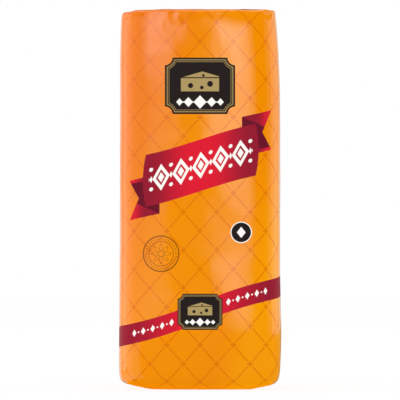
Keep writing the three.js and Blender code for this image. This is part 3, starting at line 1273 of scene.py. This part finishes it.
def line_inside(shape, inset, width):
    """A line that follows a shape's edge, some way in from it."""
    return width / 2 - abs(shape - inset)


row_place = nearest_repeat(banner_u, LOZENGE_PITCH)
lozenge_ring = line_inside(lozenge(row_place, in_band, *RING), RING_INSET, RING_WIDTH)
lozenge_heart = lozenge(row_place, in_band, *RING_HEART)
between = nearest_repeat(banner_u + LOZENGE_PITCH / 2, LOZENGE_PITCH)
row_dots = join(
    disc(between, abs(in_band) - DOT_RISE, DOT_RADIUS),
    lozenge(between, in_band, *SLIM_LOZENGE),
)
banner_row = overlap(join(lozenge_ring, lozenge_heart, row_dots), ROW_HALF_LENGTH - out)
colour = mix_colours(ink(banner_row), colour, WHITE)
print("rings that fit in the row:", 1 + 2 * int(ROW_HALF_LENGTH / LOZENGE_PITCH))

# %% [markdown]
# A black label in the shape of a ticket stands above the banner, and a smaller one sits on the
# stripe as a buckle sits on a belt. Two more are printed on the side faces. All are the same
# drawing, so it is made once, and only the place and the scale that it is drawn from change with
# the place on the film.

# %% Places of the ticket labels
TOP_LABEL_HEIGHT = 200.0
LOW_LABEL_HEIGHT = 52.0
LOW_LABEL_SCALE = 0.64
SIDE_LABEL_HEIGHT = 190.0
SIDE_LABEL_SCALE = 0.85
SIDE_FROM = 60.0
LOW_BELOW = 125.0


def when(value, threshold):
    """1 where a value is above a threshold, else 0."""
    return work_out("GREATER_THAN", value, threshold)


def choose(condition, otherwise, then):
    return otherwise + condition * (then - otherwise)


on_side = when(abs(u), SIDE_FROM)
is_low = when(LOW_BELOW - v, 0.0)
label_u = on_side * work_out("SIGN", u) * (HALF_GIRTH / 2)
label_v = choose(on_side, choose(is_low, TOP_LABEL_HEIGHT, LOW_LABEL_HEIGHT), SIDE_LABEL_HEIGHT)
label_scale = choose(on_side, choose(is_low, 1.0, LOW_LABEL_SCALE), SIDE_LABEL_SCALE)
x = (u - label_u) / label_scale
y = (v - label_v) / label_scale
print("side labels, mm from the front's middle:", round(HALF_GIRTH / 2, 1))

# %% [markdown]
# The drawing shows a wedge of cheese in gold over a white ornament, inside a double gold line. Its
# sizes are those of the top label, from the label's middle. A line is given by how far in it lies
# and how wide it is, a hole by its place and radius, and a lozenge by its place and half sizes.

# %% Drawing on the ticket labels
LABEL_HALF = (23.0, 18.5)
LABEL_BITE = 5.0
OUTER_LINE = (1.5, 0.55)
INNER_LINE = (2.7, 0.3)
WEDGE_MIDDLE = 2.2
WEDGE_HALF_LENGTH = 12.5
WEDGE_FACE_MIDDLE = -1.5
WEDGE_FACE_HALF_HEIGHT = 4.3
WEDGE_TOP_FROM = 3.5
WEDGE_PEAK = (1.5, 7.2)
WEDGE_SLOPE = (0.28, 0.96)
WEDGE_HOLES = ((-6.2, -2.0, 1.7), (1.2, -3.3, 1.2), (6.6, -0.9, 1.9), (2.2, 4.6, 0.9))
ORNAMENT_MIDDLE = -10.6
ORNAMENT_LOZENGES = ((0.0, 4.2, 4.4), (7.6, 3.0, 3.2), (13.4, 2.2, 2.4))
ORNAMENT_LINE_HALF = (15.0, 0.35)

corner_bite = distance(abs(x) - LABEL_HALF[0], abs(y) - LABEL_HALF[1]) - LABEL_BITE
ticket = overlap(bar(x, LABEL_HALF[0]), bar(y, LABEL_HALF[1]), corner_bite)
ticket_lines = join(line_inside(ticket, *OUTER_LINE), line_inside(ticket, *INNER_LINE))

wedge_y = y - WEDGE_MIDDLE
wedge_length = bar(x, WEDGE_HALF_LENGTH)
wedge_face = overlap(wedge_length, bar(wedge_y - WEDGE_FACE_MIDDLE, WEDGE_FACE_HALF_HEIGHT))
below_peak = (WEDGE_PEAK[1] - wedge_y) * WEDGE_SLOPE[1] - abs(x - WEDGE_PEAK[0]) * WEDGE_SLOPE[0]
wedge_top = overlap(wedge_y - WEDGE_TOP_FROM, below_peak, wedge_length)
holes = join(*(disc(x - hole_x, wedge_y - hole_y, size) for hole_x, hole_y, size in WEDGE_HOLES))
wedge = overlap(join(wedge_face, wedge_top), 0.0 - holes)

ornament_y = y - ORNAMENT_MIDDLE
ornament = join(
    overlap(bar(x, ORNAMENT_LINE_HALF[0]), bar(ornament_y, ORNAMENT_LINE_HALF[1])),
    *(lozenge(abs(x) - place, ornament_y, *half_size) for place, *half_size in ORNAMENT_LOZENGES),
)

colour = mix_colours(ink(ticket), colour, BLACK)
colour = mix_colours(ink(join(ticket_lines, wedge)), colour, GOLD)
colour = mix_colours(ink(ornament), colour, WHITE)
print("top label, mm:", [2 * half_side for half_side in LABEL_HALF])

# %% [markdown]
# Two small marks finish the front. The first is a round seal in fine brown lines with a rosette.
# The rosette's petals come from the angle round its middle, and so do the ticks round the seal.

# %% Seal
SEAL = (-25.5, 90.0)
SEAL_RADIUS = 12.0
SEAL_LINES = ((0.4, 0.8), (3.9, 0.4))
SEAL_TICKS = 36
TICK_LINE = (2.2, 1.1)
TICK_RADIUS = 10.0
TICK_HALF_WIDTH = 0.22
PETALS = 8
PETAL_RADIUS = 4.6
PETAL_SWING = 1.7
PETAL_LINE = 0.5
HEART_RADIUS = 2.0
HEART_LINE = 0.4

seal_x = u - SEAL[0]
seal_y = v - SEAL[1]
seal_disc = disc(seal_x, seal_y, SEAL_RADIUS)
angle = work_out("ARCTAN2", seal_y, seal_x)
tick_angle = nearest_repeat(angle, 2 * math.pi / SEAL_TICKS)
ticks = overlap(TICK_HALF_WIDTH - abs(tick_angle) * TICK_RADIUS, line_inside(seal_disc, *TICK_LINE))
petal_edge = PETAL_RADIUS + work_out("COSINE", angle * PETALS) * PETAL_SWING
rosette = line_inside(petal_edge - distance(seal_x, seal_y), 0.0, PETAL_LINE)
seal_lines = join(
    ticks,
    rosette,
    line_inside(disc(seal_x, seal_y, HEART_RADIUS), 0.0, HEART_LINE),
    *(line_inside(seal_disc, *line) for line in SEAL_LINES),
)
colour = mix_colours(ink(seal_lines), colour, BROWN)
print("petals and ticks of the seal:", PETALS, SEAL_TICKS)

# %% [markdown]
# The second mark is a black disc with a white lozenge and a thin white rim. A shape grows when a
# little is added to its field, so the rim needs no drawing of its own.

# %% Disc
DISC = (27.0, 104.0)
DISC_RADIUS = 6.4
DISC_RIM = 0.6
DISC_LOZENGE = (2.9, 3.7)

disc_x = u - DISC[0]
disc_y = v - DISC[1]
black_disc = disc(disc_x, disc_y, DISC_RADIUS)
rimmed_disc = black_disc + DISC_RIM
colour = mix_colours(ink(rimmed_disc), colour, WHITE)
colour = mix_colours(ink(black_disc), colour, BLACK)
colour = mix_colours(ink(lozenge(disc_x, disc_y, *DISC_LOZENGE)), colour, WHITE)
print("nodes in the print:", len(film_nodes))

# %% [markdown]
# The film is a smooth plastic with a soft gloss. The orange is printed on its inner side, so there
# the bare film shines, and its roughness wanders a little where hands have touched it. The red,
# black and white inks lie on top and are nearly matte, so they hardly mirror anything. The foot is
# scuffed dull where the loaf has stood. A fine bump gives the tiny crinkles that make a highlight
# shimmer.

# %% Finish of the film
FILM_ROUGHNESS = 0.08
TOUCHED_ROUGHNESS = 0.04
INK_ROUGHNESS = 0.5
FILM_SHINE = 0.5
INK_SHINE = 0.1
SCUFFED_HEIGHT = 5.0
TOUCH_SCALE = 45.0
TOUCH_SPAN = (0.25, 0.75)
CRINKLE_SCALE = 260.0
BUMP_STRENGTH = 0.2
BUMP_HEIGHT = 0.06 * MM

finish = film_nodes["Principled BSDF"]
plug_in(colour, finish.inputs["Base Color"])

touched = fade(body_noise(TOUCH_SCALE, detail=4.0), *TOUCH_SPAN)
outer_ink = ink(join(stripe, tail, band, ticket, rimmed_disc))
roughness = choose(outer_ink, touched * TOUCHED_ROUGHNESS + FILM_ROUGHNESS, INK_ROUGHNESS)
plug_in(roughness, finish.inputs["Roughness"])
shine = choose(outer_ink, FILM_SHINE, INK_SHINE) * fade(v, 0.0, SCUFFED_HEIGHT)
plug_in(shine, finish.inputs["Specular IOR Level"])

crinkle_bump = film_nodes.new("ShaderNodeBump")
set_inputs(crinkle_bump, {"Strength": BUMP_STRENGTH, "Distance": BUMP_HEIGHT})
plug_in(body_noise(CRINKLE_SCALE, detail=3.0), crinkle_bump.inputs["Height"])
film_links.new(crinkle_bump.outputs["Normal"], finish.inputs["Normal"])
print("nodes in the film's material:", len(film_nodes))

# %% [markdown]
# Last, every piece gets the film's material and is tied to the loaf's body. The imported loaf is
# hidden, as the skin now shows it, and the guide has done its work and is removed.

# %% Put the pieces together
bpy.data.objects.remove(guide)
for piece in (film_skin, back_seam, *flaps):
    piece.data.materials.clear()
    piece.data.materials.append(film)
    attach(piece, "root")
    print(piece.name, "faces:", len(piece.data.polygons))
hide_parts("wrapped_loaf")
